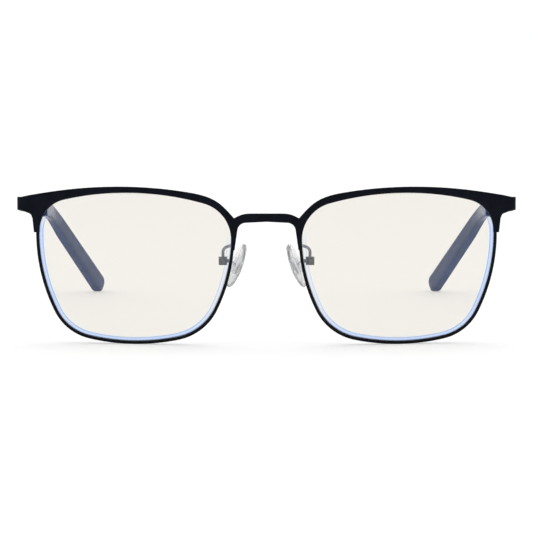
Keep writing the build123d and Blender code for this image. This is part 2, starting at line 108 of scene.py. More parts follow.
def shell_point(u, v, r):
    """The point of the sphere of radius r that stands straight behind (u, v)."""
    return front_point(u, v, np.sqrt(r * r - u * u - v * v) - BASE)


# ---------------------------------------------------------------- outline
def corner_centre(one, two, radius, towards):
    """Centre of the circle that touches two larger circles from inside: it stands where their
    circles, shrunk by its radius, cross, on the side given by towards."""
    (c1, r1), (c2, r2) = one, two
    c1, c2 = np.array(c1), np.array(c2)
    gap = np.linalg.norm(c2 - c1)
    along = (gap**2 + (r1 - radius) ** 2 - (r2 - radius) ** 2) / (2 * gap)
    across = math.sqrt((r1 - radius) ** 2 - along**2)
    ahead = (c2 - c1) / gap
    square = np.array([-ahead[1], ahead[0]])
    crossings = [c1 + ahead * along + square * across * s for s in (1, -1)]
    return max(crossings, key=lambda c: float(np.dot(c - [OPENING_MIDDLE, 0], towards)))


def arc_chain():
    """The lens outline as eight arcs that meet smoothly, clockwise from the bottom of the
    nasal side: rows of centre u, centre v, radius, first angle and sweep."""
    sides = [((OPENING_LEFT + NASAL_ARC, NASAL_ARC_HEIGHT), NASAL_ARC),
             ((OPENING_MIDDLE + TOP_ARC_SHIFT, OPENING_TOP - TOP_ARC), TOP_ARC),
             ((OPENING_RIGHT - OUTER_ARC, OUTER_ARC_HEIGHT), OUTER_ARC),
             ((OPENING_MIDDLE + BOTTOM_ARC_SHIFT, OPENING_BOTTOM + BOTTOM_ARC), BOTTOM_ARC)]
    corners = [(UPPER_NASAL, (-1, 1)), (UPPER_OUTER, (1, 1)), (LOWER_OUTER, (1, -1)),
               (LOWER_NASAL, (-1, -1))]
    centres = [corner_centre(sides[k], sides[(k + 1) % 4], *corners[k]) for k in range(4)]

    def angle(c, side):
        return math.atan2(c[1] - side[0][1], c[0] - side[0][0])

    rows = []
    for k, side in enumerate(sides):
        first, last = angle(centres[k - 1], side), angle(centres[k], side)
        rows.append((*side[0], side[1], first, -((first - last) % (2 * math.pi))))
        after = angle(centres[k], sides[(k + 1) % 4])
        rows.append((*centres[k], corners[k][0], last, -((last - after) % (2 * math.pi))))
    return np.array(rows)


ARCS = arc_chain()
ARC_ENDS = np.concatenate([[0], np.cumsum(ARCS[:, 2] * np.abs(ARCS[:, 4]))])
AROUND = ARC_ENDS[-1]


def outline(distance, grow=0.0):
    """Point of the lens outline at a distance along it, moved out by grow: the arc's centre
    plus its radius and grow, turned to the angle that the distance reaches."""
    distance, grow = np.broadcast_arrays(np.mod(distance, AROUND), grow)
    k = np.clip(np.searchsorted(ARC_ENDS, distance, side="right") - 1, 0, 7)
    cu, cv, radius, first, sweep = np.moveaxis(ARCS[k], -1, 0)
    angle = first + sweep * (distance - ARC_ENDS[k]) / (ARC_ENDS[k + 1] - ARC_ENDS[k])
    return cu + (radius + grow) * np.cos(angle), cv + (radius + grow) * np.sin(angle)


def distance_at(height, start, end):
    """Distance along the outline, between start and end, where it reaches a height."""
    steps = np.linspace(start, end, 400)
    _, v = outline(steps)
    order = np.argsort(v)
    return float(np.interp(height, v[order], steps[order]))


# ---------------------------------------------------------------- meshes
def grid_faces(rows, columns, close_rows=False, close_columns=False, base=0):
    """Quads of a grid of rows by columns, each direction closed on itself if asked."""
    i = np.arange(rows if close_rows else rows - 1)
    j = np.arange(columns if close_columns else columns - 1)
    i, j = np.meshgrid(i, j, indexing="ij")
    down, right = (i + 1) % rows, (j + 1) % columns
    corners = [i * columns + j, i * columns + right, down * columns + right, down * columns + j]
    return np.stack(corners, axis=-1).reshape(-1, 4) + base


def fan_cap(ring, centre):
    """Triangles from a ring of vertex numbers to one centre vertex."""
    return np.stack([ring, np.roll(ring, -1), np.full_like(ring, centre)], axis=-1)


def tube_faces(rows, columns):
    """Quads of a grid closed round its columns, with a fan over each end; the two centre
    vertices come after the grid's own."""
    ring = np.arange(columns)
    return [*grid_faces(rows, columns, False, True), *fan_cap(ring, rows * columns),
            *fan_cap(ring + (rows - 1) * columns, rows * columns + 1)]


def corner_vertices(mesh):
    """Vertex number at each face corner."""
    numbers = np.empty(len(mesh.loops), np.int32)
    mesh.loops.foreach_get("vertex_index", numbers)
    return numbers


def piece_from(mesh, work, smooth):
    """An object from a mesh and its edited form, with soft shading up to an angle in degrees."""
    work.to_mesh(mesh)
    work.free()
    mesh.polygons.foreach_set("use_smooth", [True] * len(mesh.polygons))
    mesh.set_sharp_from_angle(angle=math.radians(smooth))
    piece = bpy.data.objects.new(mesh.name, mesh)
    bpy.context.scene.collection.objects.link(piece)
    return piece


def build_mesh(name, points, faces, edge=None, uv=None, smooth=40.0):
    """A mesh from points in metres and faces, welded, facing outwards, with soft shading up
    to an angle in degrees. The edge vectors and the UVs are given for each point."""
    mesh = bpy.data.meshes.new(name)
    mesh.from_pydata(points.reshape(-1, 3).tolist(), [], [tuple(map(int, f)) for f in faces])
    if edge is not None:
        layer = mesh.attributes.new("edge", "FLOAT_VECTOR", "POINT")
        layer.data.foreach_set("vector", edge.astype(np.float32).ravel())
    if uv is not None:
        layer = mesh.uv_layers.new(name="UVMap")
        layer.data.foreach_set("uv", uv.astype(np.float32)[corner_vertices(mesh)].ravel())
    work = bmesh.new()
    work.from_mesh(mesh)
    bmesh.ops.remove_doubles(work, verts=work.verts, dist=2e-6)
    bmesh.ops.recalc_face_normals(work, faces=work.faces)
    return piece_from(mesh, work, smooth)


def rounded_box_profile(half_a, half_b, radius, steps=5):
    """Closed profile of a rectangle with round corners: four quarter turns about the corner
    centres, counter-clockwise."""
    turn = np.linspace(0, math.pi / 2, steps)
    centres = np.array([[1, 1], [-1, 1], [-1, -1], [1, -1]]) * [half_a - radius, half_b - radius]
    angle = turn[None, :] + np.arange(4)[:, None] * math.pi / 2
    ring = np.stack([np.cos(angle), np.sin(angle)], axis=-1) * radius + centres[:, None, :]
    return ring.reshape(-1, 2)


# ---------------------------------------------------------------- front
def rim_piece(side):
    """Eye wire: a chamfered, grooved section carried round the lens outline, its depth measured
    back from the sphere."""
    c = RIM_CHAMFER
    section = np.array([
        (c, 0), (RIM_WIDTH - c, 0), (RIM_WIDTH, c), (RIM_WIDTH, RIM_DEPTH - c),
        (RIM_WIDTH - c, RIM_DEPTH), (c, RIM_DEPTH), (0, RIM_DEPTH - c), (0, GROOVE_BACK),
        (GROOVE, GROOVE_BACK), (GROOVE, GROOVE_FRONT), (0, GROOVE_FRONT), (0, c),
    ])
    along = np.linspace(0, AROUND, RIM_STEPS, endpoint=False)[:, None]
    u, v = outline(along, section[None, :, 0])
    points = shell_point(side * u, v, BASE - section[None, :, 1])
    return points, grid_faces(RIM_STEPS, len(section), True, True)


def edge_reflection_strength(along):
    """How strong the painted blue reflection on the lens edge is along the outline: it grows as the
    outline faces outwards or down, and fades as it faces up. The outline's move when it grows by 1
    is its normal."""
    out_u, out_v = np.array(outline(along, 1.0)) - np.array(outline(along))
    sideways = np.clip(0.2 + 0.9 * np.maximum(out_u, -out_v), 0, 1)
    return sideways * (1 - np.clip(1.2 * out_v, 0, 1))


def lens_piece(side):
    """Lens: the outline shrunk towards its middle gives the rings of both faces, which lie on
    spheres a lens thickness apart, and a pointed edge joins them inside the groove. The edge vector
    holds how far out a point is, from 0 to 1, and how strong the painted blue edge reflection is
    there."""
    along = np.linspace(0, AROUND, LENS_STEPS, endpoint=False)
    inner = 0.93 * np.sqrt(np.linspace(0, 1, 14)[1:])
    shrink = np.concatenate([inner, LENS_BAND])
    u_edge, v_edge = outline(along, -LENS_GAP)
    middle_v = (OPENING_TOP + OPENING_BOTTOM) / 2
    u = OPENING_MIDDLE + shrink[:, None] * (u_edge - OPENING_MIDDLE)
    v = middle_v + shrink[:, None] * (v_edge - middle_v)
    front, back = BASE - LENS_SETBACK, BASE - LENS_SETBACK - LENS_THICKNESS
    ridge_u, ridge_v = outline(along, GROOVE - TONGUE_GAP)
    ridge_r = BASE - (GROOVE_FRONT + GROOVE_BACK) / 2
    grid = np.concatenate([
        shell_point(side * u, v, front),
        shell_point(side * u_edge, v_edge, BASE - TONGUE_FRONT)[None],
        shell_point(side * ridge_u, ridge_v, ridge_r)[None],
        shell_point(side * u_edge, v_edge, BASE - TONGUE_BACK)[None],
        shell_point(side * u[::-1], v[::-1], back),
    ])
    poles = [shell_point(side * OPENING_MIDDLE, middle_v, r).reshape(1, 3) for r in (front, back)]
    reach = np.repeat(np.concatenate([shrink, [1.0, 1.0, 1.0], shrink[::-1]]), LENS_STEPS)
    # Strength of the painted blue edge reflection, the same on every ring.
    strength = np.tile(edge_reflection_strength(along), len(grid))
    edge = np.stack([reach, strength, 0 * reach], axis=-1)
    points = np.concatenate([grid.reshape(-1, 3), *poles])
    return points, tube_faces(len(grid), LENS_STEPS), np.concatenate([edge, np.zeros((2, 3))])


def smooth_curve(knots, count):
    """Natural cubic spline through a few knots, by the distance between them: second
    derivatives come from the usual three-term equations."""
    knots = np.array(knots, float)
    t = np.concatenate([[0], np.cumsum(np.linalg.norm(np.diff(knots, axis=0), axis=1))])
    h = np.diff(t)
    n = len(knots)
    system = np.eye(n)
    inner = np.arange(1, n - 1)
    system[inner, inner - 1], system[inner, inner] = h[:-1], 2 * (h[:-1] + h[1:])
    system[inner, inner + 1] = h[1:]
    slopes = np.diff(knots, axis=0) / h[:, None]
    right = np.zeros_like(knots)
    right[1:-1] = 6 * np.diff(slopes, axis=0)
    bend = np.linalg.solve(system, right)
    at = np.linspace(0, t[-1], count)
    k = np.clip(np.searchsorted(t, at, side="right") - 1, 0, n - 2)
    a, b = ((t[k + 1] - at) / h[k])[:, None], ((at - t[k]) / h[k])[:, None]
    span = (h[k] ** 2)[:, None] / 6
    return a * knots[k] + b * knots[k + 1] + ((a**3 - a) * bend[k] + (b**3 - b) * bend[k + 1]) * span


def fillet_arc(start, corner, end, radius, count):
    """Quarter-turn or other arc of a radius that rounds the corner between two lines."""
    start, corner, end = (np.array(p, float) for p in (start, corner, end))
    one = (start - corner) / np.linalg.norm(start - corner)
    two = (end - corner) / np.linalg.norm(end - corner)
    half = math.acos(float(np.clip(one @ two, -1, 1))) / 2
    centre = corner + (one + two) / np.linalg.norm(one + two) * radius / math.sin(half)
    first = corner + one * radius / math.tan(half) - centre
    last = corner + two * radius / math.tan(half) - centre
    part = np.linspace(0, 1, count)[:, None]
    swing = math.pi - 2 * half
    mix = (np.sin((1 - part) * swing) * first + np.sin(part * swing) * last) / math.sin(swing)
    return centre + mix


def run(start, end, count):
    """Evenly spaced points on a straight line."""
    return np.linspace(np.array(start, float), np.array(end, float), count)


def joined(*stretches):
    """Stretches of points end to end, each without its first point after the first one."""
    return np.concatenate([stretches[0]] + [s[1:] for s in stretches[1:]])


def nearest_distance(point, start, end):
    """Distance along the outline, between start and end, nearest to a point."""
    steps = np.linspace(start, end, 600)
    u, v = outline(steps)
    return float(steps[np.argmin((u - point[0]) ** 2 + (v - point[1]) ** 2)])


END_FILLET_X = END_OUTER - BEND_INNER - SHEET
END_FILLET_OUT = math.sqrt((BASE - BEND_INNER) ** 2 - END_FILLET_X**2)
END_TILT = math.asin(END_CENTRE / END_FILLET_OUT)
BEND_START = math.atan2(END_FILLET_OUT, END_FILLET_X)


def end_point(x, out, height):
    """The end piece's own section: x across, out from the sphere's centre, and height along
    the bend's axis, which touches the sphere at the end piece's middle."""
    x, out, height = np.broadcast_arrays(x, out, height)
    return front_point(x, out * math.sin(END_TILT) + height * math.cos(END_TILT),
                       out * math.cos(END_TILT) - height * math.sin(END_TILT) - BASE)


# Heights on the brow sheet are measured down from the top of the opening.
LEG_LOW, NASAL_LOW = OPENING_TOP - 11.7, OPENING_TOP - 15.8
LEG_OUTER, NASAL_OUTER = OPENING_RIGHT + 1.5, OPENING_LEFT - 0.95
LEG_FLARE, LEG_FLARE_DROP, LEG_FILLET = 0.6, 0.4, 2.2
NOTCH = (OPENING_LEFT - 0.8, OPENING_TOP - 6.8)
BAR_HIGH, BAR_LOW = OPENING_TOP - 5.4, OPENING_TOP - 7.75
BAR_CROWN, BAR_CROWN_RUN = 0.06, 3.5
SHOULDER = (OPENING_LEFT - 3.05, BAR_HIGH - 0.37)
BRIDGE_END, BRIDGE_FILLET = (OPENING_LEFT - 2.05, BAR_LOW - 0.4), 2.4
END_LOW, END_HIGH = END_CENTRE - END_HEIGHT / 2, END_CENTRE + END_HEIGHT / 2
END_PAST, END_SEAM = 1.0, 67.0
# The brow line stands this far above the opening's top arc, at these places across it; near
# the nose the arc's height is read a little further in.
BROW_NASAL_RUN, BROW_NASAL_READ, BROW_NASAL_HEIGHT = 4.1, 8.0, 0.5
BROW_SHOULDER_RUN, BROW_SHOULDER_HEIGHT = 14.5, 2.0
BROW_PEAK_RUN, BROW_PEAK_HEIGHT = 2.3, 1.7
BROW_OUTER_RUN, BROW_OUTER_HEIGHT, BROW_END_DROP = 7.8, 2.7, 0.2
FILLET_STEPS = 13
HALF_FILLET = FILLET_STEPS // 2


def top_arc(u):
    """Height of the opening's top arc at u."""
    across = u - OPENING_MIDDLE - TOP_ARC_SHIFT
    return OPENING_TOP - TOP_ARC + math.sqrt(TOP_ARC**2 - across**2)


def brow_crest():
    """The brow's upper edge from the notch to where the end piece starts: a spline through
    knots above the top arc, cut at the seam."""
    shoulder, outer = OPENING_MIDDLE - BROW_SHOULDER_RUN, OPENING_RIGHT - BROW_OUTER_RUN
    knots = [NOTCH,
             (OPENING_LEFT + BROW_NASAL_RUN,
              top_arc(OPENING_LEFT + BROW_NASAL_READ) + BROW_NASAL_HEIGHT),
             (shoulder, top_arc(shoulder) + BROW_SHOULDER_HEIGHT),
             (OPENING_MIDDLE + BROW_PEAK_RUN, OPENING_TOP + BROW_PEAK_HEIGHT),
             (outer, top_arc(outer) + BROW_OUTER_HEIGHT),
             (END_OUTER + END_PAST, END_HIGH - BROW_END_DROP)]
    crest = smooth_curve(knots, 400)
    crest = crest[crest[:, 0] <= END_SEAM]
    return crest[np.linspace(0, len(crest) - 1, 90).astype(int)]


def brow_half(side):
    """One half of the brow sheet's front surface as three welded grids: a band between the
    lens outline and the sheet's outer edge, half the bridge bar, and the end piece, which
    leaves the sphere, bends round an upright axis and runs straight back."""
    nasal_foot, leg_foot = (NASAL_OUTER, NASAL_LOW), (LEG_OUTER, LEG_LOW)
    leg_top = (LEG_OUTER + LEG_FLARE, END_LOW - LEG_FLARE_DROP)
    under_bridge = fillet_arc(nasal_foot, BRIDGE_END, (0, BAR_LOW), BRIDGE_FILLET, FILLET_STEPS)
    under_end = fillet_arc((END_OUTER + END_PAST, END_LOW), leg_top, leg_foot, LEG_FILLET,
                           FILLET_STEPS)
    crest = brow_crest()
    end_seam = run(crest[-1], under_end[HALF_FILLET], 10)
    stretches = [run(nasal_foot, under_bridge[0], 10), under_bridge[:HALF_FILLET + 1],
                 run(under_bridge[HALF_FILLET], NOTCH, 8), crest, end_seam,
                 under_end[HALF_FILLET:], run(under_end[-1], leg_foot, 10)]
    outer = joined(*stretches)
    s_start = distance_at(NASAL_LOW, 0, ARC_ENDS[1])
    s_end = distance_at(LEG_LOW, ARC_ENDS[4], ARC_ENDS[5])
    turns = np.cumsum([0] + [len(s) - 1 for s in stretches])
    marks = [s_start] + [nearest_distance(outer[k], s_start, s_end) for k in turns[1:-1]] + [s_end]
    inner_s = np.interp(np.arange(len(outer)), turns, np.maximum.accumulate(marks))
    inner = np.stack(outline(inner_s), axis=-1)
    mix = np.linspace(0, 1, 5)[:, None, None]
    band = inner * (1 - mix) + outer * mix

    bar_bottom = joined(run((0, BAR_LOW), under_bridge[-1], 8), under_bridge[HALF_FILLET:][::-1])
    crown = BAR_HIGH - BAR_CROWN
    arch = [(-NOTCH[0], NOTCH[1]), (-SHOULDER[0], SHOULDER[1]), (-BAR_CROWN_RUN, crown),
            (BAR_CROWN_RUN, crown), SHOULDER, NOTCH]
    bar_top = smooth_curve(arch, 200)
    bar_top = bar_top[np.linspace(np.argmin(abs(bar_top[:, 0])), 199, len(bar_bottom)).astype(int)]
    bar_top[0, 0] = 0
    mix = np.linspace(0, 1, 8)[:, None, None]
    bar = bar_bottom * (1 - mix) + bar_top * mix

    points = [shell_point(side * g[..., 0], g[..., 1], BASE + SHEET) for g in (band, bar)]
    seam = shell_point(side * end_seam[:, 0], end_seam[:, 1], BASE + SHEET)
    height = np.linspace(END_HEIGHT / 2, -END_HEIGHT / 2, 10)
    turn = np.linspace(BEND_START, 0, 9)[:, None]
    outer_radius = BEND_INNER + SHEET
    bend = end_point(side * (END_FILLET_X + outer_radius * np.cos(turn)),
                     END_FILLET_OUT + outer_radius * np.sin(turn), height[None])
    rear = row_point(side * END_OUTER, HINGE_DEPTH, TEMPLE_LEVEL + height)
    lead = seam + (bend[0] - seam) * np.linspace(0, 1, 4)[:-1, None, None]
    back = bend[-1] + (rear - bend[-1]) * np.linspace(0, 1, 6)[1:, None, None]
    points.append(np.concatenate([lead, bend, back]))
    return points


def brow_piece():
    """The whole brow sheet, both halves welded along the middle of the bridge."""
    points, faces, base = [], [], 0
    for side in (1, -1):
        for grid in brow_half(side):
            rows, columns = grid.shape[:2]
            quads = grid_faces(rows, columns, base=base)
            points.append(grid.reshape(-1, 3))
            faces.append(quads[:, ::side])
            base += rows * columns
    return np.concatenate(points), np.concatenate(faces)


# ---------------------------------------------------------------- temples
ARM_X = END_INNER + SHEET / 2
ARM_START = HINGE_DEPTH + 0.12
TIP_START = HINGE_DEPTH + 70.0
DROP, INWARD = math.radians(35.6), math.radians(22.7)
DROP_CORNER = np.array([HINGE_DEPTH + 95.3, TEMPLE_LEVEL])
DROP_LENGTH, DROP_RADIUS = 39.6, 26.0
TOE_IN, INWARD_START, INWARD_RADIUS = 1.1, 96.4, 40.0
LEAD, LEAD_RADIUS = 8.0, 150.0
TIP_THICKNESS, TIP_END = 2.5, 2.8
TIP_FRONT_HALF, TIP_BEND_HALF = 2.0, 2.3
TIP_LIP = np.array([0.0, 0.06, 0.2, 0.42])
TIP_SQUARENESS = 5.5
CORE_END, CORE_HALF, ARM_ROUND = 8.0, 1.0, 0.14
PAST_TIP = 1.3


def plan_route():
    """The temple seen from above as points (x, y): parallel, a slight toe-in, then a turn
    inwards, each corner rounded by an arc."""
    toe, turn = (ARM_X - TOE_IN, HINGE_DEPTH + INWARD_START), PAST_TIP * DROP_LENGTH
    last = (toe[0] - turn * math.sin(INWARD), toe[1] + turn * math.cos(INWARD))
    lead = (ARM_X, HINGE_DEPTH + LEAD)
    middle = ((lead[0] + toe[0]) / 2, (lead[1] + toe[1]) / 2)
    first = fillet_arc((ARM_X, 0), lead, middle, LEAD_RADIUS, 12)
    second = fillet_arc(middle, toe, last, INWARD_RADIUS, 24)
    return joined(run((ARM_X, 0), first[0], 6), first, run(first[-1], second[0], 24), second,
                  run(second[-1], last, 24))


def drop_edge(side, start, reach, halves):
    """Upper (1) or lower (-1) edge of the temple seen from the side, as points (y, z)."""
    front, bend, end = halves
    along = np.array([math.cos(DROP), -math.sin(DROP)])
    square = np.array([math.sin(DROP), math.cos(DROP)])
    first = (start, TEMPLE_LEVEL + side * front)
    corner = DROP_CORNER + side * bend * np.array([math.tan(DROP / 2), 1])
    last = DROP_CORNER + reach * along + side * end * square
    arc = fillet_arc(first, corner, last, DROP_RADIUS + side * bend, 25)
    return joined(run(first, arc[0], 40), arc, run(arc[-1], last, 30))


def on_plan(points, across):
    """Points (y, z) of the side view set on the plan's route, moved sideways by across, which
    is measured square to the route; the plan is stretched by the slope it has there."""
    route = plan_route()
    slope = np.gradient(route[:, 0], route[:, 1])
    y, z = points[..., 0], points[..., 1]
    x = np.interp(y, route[:, 1], route[:, 0])
    lean = np.interp(y, route[:, 1], slope)
    return x + across * np.sqrt(1 + lean**2), y, z


def temple_strip(side):
    """Metal arm: the upper and lower edges give the height at each station and a rounded
    rectangle a sheet thick is carried between them."""
    halves = (END_HEIGHT / 2, CORE_HALF, CORE_HALF)
    high = drop_edge(1, ARM_START, DROP_LENGTH - CORE_END, halves)
    low = drop_edge(-1, ARM_START, DROP_LENGTH - CORE_END, halves)
    section = rounded_box_profile(1.0, SHEET / 2, ARM_ROUND, 4)
    up = (section[:, 0][None, :, None] + 1) / 2
    spine = low[:, None] * (1 - up) + high[:, None] * up
    x, y, z = on_plan(spine, section[:, 1][None, :])
    points = row_point(side * x, y, z)
    centres = points[[0, -1]].mean(axis=1)
    return np.concatenate([points.reshape(-1, 3), centres]), tube_faces(*points.shape[:2])


def temple_tip(side):
    """Moulded sleeve: a superellipse section between the upper and lower edges, its height
    and thickness drawn in at the front lip and round the full end, where both follow a
    half circle."""
    halves = (TIP_FRONT_HALF, TIP_BEND_HALF, TIP_END)
    high = drop_edge(1, TIP_START, DROP_LENGTH, halves)
    low = drop_edge(-1, TIP_START, DROP_LENGTH, halves)
    middle, half = (high + low) / 2, (high - low) / 2
    lip_rows = middle[0] + np.outer(TIP_LIP, [1, 0])
    lip_turn = (1 - TIP_LIP / TIP_LIP[-1]) ** 2
    lip_half = half[0] * np.sqrt(1 - lip_turn * 0.55)[:, None]
    swing = np.linspace(0, math.pi / 2, 16)[1:]
    ahead = np.array([math.cos(DROP), -math.sin(DROP)])
    end_rows = middle[-1] + TIP_END * np.outer(np.sin(swing), ahead)
    end_half = half[-1] * np.cos(swing)[:, None]
    keep = middle[:, 0] > TIP_START + 0.5
    middle = np.concatenate([lip_rows, middle[keep], end_rows])
    half = np.concatenate([lip_half, half[keep], end_half])
    flat = np.ones(len(middle))
    flat[:len(TIP_LIP)] = np.sqrt(1 - lip_turn * 0.3)
    flat[-len(swing):] = np.clip(np.cos(swing), 0, 1) ** 0.45
    turn = np.linspace(0, 2 * math.pi, 40, endpoint=False)
    power = 2 / TIP_SQUARENESS
    rise = np.sign(np.sin(turn)) * np.abs(np.sin(turn)) ** power
    out = np.sign(np.cos(turn)) * np.abs(np.cos(turn)) ** power
    spine = middle[:, None] + half[:, None] * rise[None, :, None]
    x, y, z = on_plan(spine, TIP_THICKNESS / 2 * flat[:, None] * out[None])
    points = row_point(side * x, y, z)
    rows, columns = points.shape[:2]
    height = np.repeat(rise[None], rows, axis=0) * np.linalg.norm(half, axis=1)[:, None]
    along = np.cumsum(np.r_[0, np.linalg.norm(np.diff(middle, axis=0), axis=1)])
    uv = np.stack([np.repeat(along[:, None], columns, axis=1), height], axis=-1).reshape(-1, 2)
    uv = np.concatenate([uv, [[0, 0], [along[-1], 0]]])
    centres = points[[0, -1]].mean(axis=1)
    return np.concatenate([points.reshape(-1, 3), centres]), tube_faces(rows, columns), uv


# ---------------------------------------------------------------- nose pads
PAD_CENTRE = np.array([8.4, 10.0, 0.2])
LEAN, SPLAY = math.radians(21.0), math.radians(20.0)
PAD_AXIS = np.array([-math.sin(LEAN), 0, math.cos(LEAN)])
PAD_NORMAL = np.array([-math.cos(SPLAY) * math.cos(LEAN), math.sin(SPLAY),
                       -math.cos(SPLAY) * math.sin(LEAN)])
PAD_STANDOFF = 4.4
BOX_PLACE = PAD_CENTRE - PAD_NORMAL * PAD_STANDOFF
BOX_HALF_HEIGHT = 1.1
PAD_HALVES = (6.5, 3.4, 1.1)
PAD_TAPER, PAD_FULLNESS, PAD_CROWN, PAD_SINK, POLE_SINK = 0.12, 0.42, 0.35, 0.12, 0.08
WIRE_ROOT, WIRE_BURY, WIRE_BACK, WIRE_FALL = 5.9, 0.3, 7.6, 0.9
WIRE_RADIUS, WIRE_FILLET = 0.45, 1.6
WIRE_SIDE = (0.94, -0.05, 0.34)


def pad_frame():
    """Unit directions of the pad: along its length, across it, and out of its face."""
    normal = PAD_NORMAL / np.linalg.norm(PAD_NORMAL)
    axis = PAD_AXIS - normal * (PAD_AXIS @ normal)
    axis /= np.linalg.norm(axis)
    return axis, np.cross(normal, axis), normal


def nose_pad(side):
    """Soft pad: rings of a tear-shaped ellipse, wider towards the bottom, whose thickness
    follows a flattened dome on the side that rests on the nose and a shallower one behind."""
    axis, across, normal = pad_frame()
    turn = np.linspace(0, 2 * math.pi, 64, endpoint=False)
    level = np.linspace(-math.pi / 2, math.pi / 2, 33)[1:-1]
    reach = np.cos(level) ** PAD_FULLNESS
    lift = np.sign(np.sin(level)) * np.abs(np.sin(level)) ** 0.9 * PAD_HALVES[2]
    length = PAD_HALVES[0] * np.cos(turn)
    width = PAD_HALVES[1] * np.sin(turn) * (1 - PAD_TAPER * np.cos(turn))
    crown = PAD_CROWN * (1 - reach[:, None] ** 2)
    points = (PAD_CENTRE + axis * (reach[:, None] * length)[..., None]
              + across * (reach[:, None] * width)[..., None]
              + normal * (lift[:, None] - PAD_SINK * (1 - crown))[..., None])
    poles = np.stack([PAD_CENTRE + normal * (k * PAD_HALVES[2] - POLE_SINK) for k in (-1, 1)])
    flat = np.concatenate([points.reshape(-1, 3), poles]) * [side, 1, 1]
    return row_point(*flat.T), tube_faces(*points.shape[:2])


def pad_wire(side):
    """Pad arm: a circle carried along straight runs and tangent arcs, square to the path,
    from the back of the rim to the top of the pad box."""
    root_u = OPENING_LEFT - RIM_WIDTH / 2
    root_w = math.sqrt((BASE - RIM_DEPTH) ** 2 - root_u**2 - WIRE_ROOT**2) - BASE
    root_y = -WIRE_ROOT * math.sin(TILT) - root_w * math.cos(TILT)
    root_z = WIRE_ROOT * math.cos(TILT) - root_w * math.sin(TILT)
    corners = np.array([(root_u, root_y - WIRE_BURY, root_z), (root_u, WIRE_BACK, root_z),
                        (BOX_PLACE[0], BOX_PLACE[1], root_z - WIRE_FALL),
                        BOX_PLACE + [0, 0, BOX_HALF_HEIGHT]])
    one = fillet_arc(*corners[:3], WIRE_FILLET, 14)
    two = fillet_arc(*corners[1:], WIRE_FILLET, 14)
    path = joined(run(corners[0], one[0], 12), one, run(one[-1], two[0], 4), two,
                  run(two[-1], corners[3], 5))
    ahead = np.gradient(path, axis=0)
    ahead /= np.linalg.norm(ahead, axis=1)[:, None]
    one_side = np.cross(ahead, WIRE_SIDE)
    one_side /= np.linalg.norm(one_side, axis=1)[:, None]
    other = np.cross(ahead, one_side)
    turn = np.linspace(0, 2 * math.pi, 24, endpoint=False)[None, :, None]
    ring = np.cos(turn) * one_side[:, None] + np.sin(turn) * other[:, None]
    points = path[:, None] + WIRE_RADIUS * ring
    flat = np.concatenate([points.reshape(-1, 3), path[[0, -1]]]) * [side, 1, 1]
    return row_point(*flat.T), tube_faces(*points.shape[:2])


# ---------------------------------------------------------------- materials
def shader(name):
    """A new node material: returns it, its node list, its Principled shader and a function
    that links two sockets."""
    material = bpy.data.materials.new(name)
    material.use_nodes = True
    nodes, links = material.node_tree.nodes, material.node_tree.links
    return material, nodes, nodes["Principled BSDF"], links.new


def noise_on(nodes, link, scale, detail=3.0, stretch=(1, 1, 1)):
    """Noise on Object coordinates, its features one over scale of a metre across."""
    place = nodes.new("ShaderNodeTexCoord")
    mapping = nodes.new("ShaderNodeMapping")
    mapping.inputs["Scale"].default_value = stretch
    noise = nodes.new("ShaderNodeTexNoise")
    noise.inputs["Scale"].default_value = scale
    noise.inputs["Detail"].default_value = detail
    link(place.outputs["Object"], mapping.inputs["Vector"])
    link(mapping.outputs["Vector"], noise.inputs["Vector"])
    return noise.outputs["Fac"]


def ramp_of(nodes, link, value, stops):
    """Colour ramp from a value; stops are (position, colour)."""
    ramp = nodes.new("ShaderNodeValToRGB")
    band = ramp.color_ramp
    while len(band.elements) < len(stops):
        band.elements.new(0.5)
    for element, (place, colour) in zip(band.elements, stops):
        element.position = place
        element.color = (*colour, 1)
    link(value, ramp.inputs["Fac"])
    return ramp.outputs["Color"]


def spread(nodes, link, value, low, high):
    """A 0 to 1 value mapped to low to high."""
    remap = nodes.new("ShaderNodeMapRange")
    remap.inputs["To Min"].default_value = low
    remap.inputs["To Max"].default_value = high
    link(value, remap.inputs["Value"])
    return remap.outputs["Result"]


def drift_between(nodes, link, value, dark, light, inset=0.3):
    """Colour that drifts from dark to light over the middle of a 0 to 1 value."""
    return ramp_of(nodes, link, value, [(inset, dark), (1 - inset, light)])


def blend(nodes, link, factor, over):
    """A colour mix led by a factor: returns its two colour sockets, after linking its result."""
    mix = nodes.new("ShaderNodeMix")
    mix.data_type = "RGBA"
    link(factor, mix.inputs["Factor"])
    link(mix.outputs[2], over)
    return mix.inputs[6], mix.inputs[7]


def bump_from(nodes, link, value, strength, depth):
    """Normal from a height value, with depth in metres."""
    bump = nodes.new("ShaderNodeBump")
    bump.inputs["Strength"].default_value = strength
    bump.inputs["Distance"].default_value = depth
    link(value, bump.inputs["Height"])
    return bump.outputs["Normal"]


def painted_metal(name, dark, light, roughness, gloss=0.07, grain=9000.0):
    """Satin coat on metal: slight colour drift, fine orange peel and uneven gloss."""
    material, nodes, principled, link = shader(name)
    drift = noise_on(nodes, link, 260.0)
    link(drift_between(nodes, link, drift, dark, light, 0.35), principled.inputs["Base Color"])
    link(spread(nodes, link, drift, roughness - 0.05, roughness + 0.06),
         principled.inputs["Roughness"])
    peel = noise_on(nodes, link, grain, 2.0)
    link(bump_from(nodes, link, peel, 0.25, 4e-6), principled.inputs["Normal"])
    principled.inputs["Specular IOR Level"].default_value = gloss
    return material


